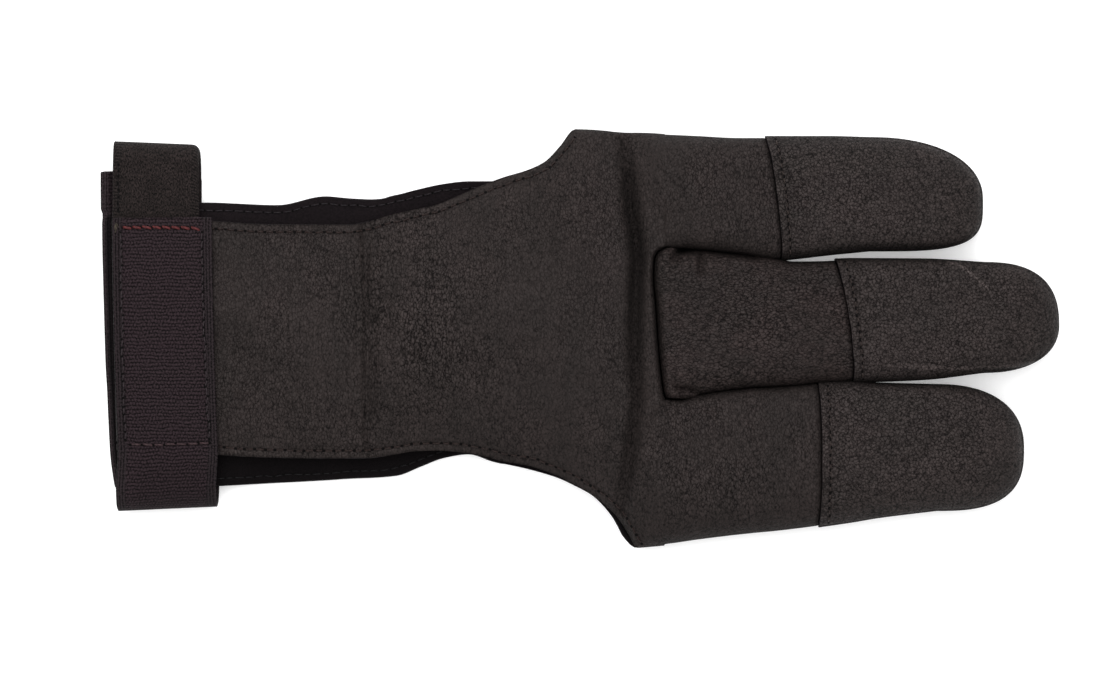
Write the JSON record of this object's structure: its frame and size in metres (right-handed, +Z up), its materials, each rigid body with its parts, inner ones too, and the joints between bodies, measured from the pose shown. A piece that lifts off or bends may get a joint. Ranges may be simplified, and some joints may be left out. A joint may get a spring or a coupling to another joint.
{
  "type": "archery glove",
  "caption": "Leather archery glove lying flat on its back: open hand panels, finger tubes with overlaid tip caps, an inset middle finger front and an elastic wrist band on a closure tape.",
  "frame": {"origin": "under the middle of the glove's box, on the surface it lies on", "axes": "+X from the wrist to the fingertips, +Y towards the thumb side, +Z up from the back of the glove to its front"},
  "size_m": [0.2394, 0.1048, 0.016],
  "materials": {
    "panel_leather": "fine-grained soft leather, satin, very dark brown",
    "back_leather": "fine-grained soft leather, satin outside and suede inside, very dark brown",
    "cap_leather": "coarse pebbled leather, satin, very dark brown",
    "elastic_webbing": "ribbed woven elastic, matt, dark brown",
    "loop_tape": "napped loop tape, matt, dark brown"
  },
  "bodies": {
    "root": {"front_panel": "panel_leather", "middle_finger_front": "panel_leather", "back_panel": "back_leather", "index_tip_cap": "cap_leather", "middle_tip_cap": "cap_leather", "ring_tip_cap": "cap_leather", "elastic_band": "elastic_webbing", "closure_tape": "loop_tape"}
  },
  "joints": []
}
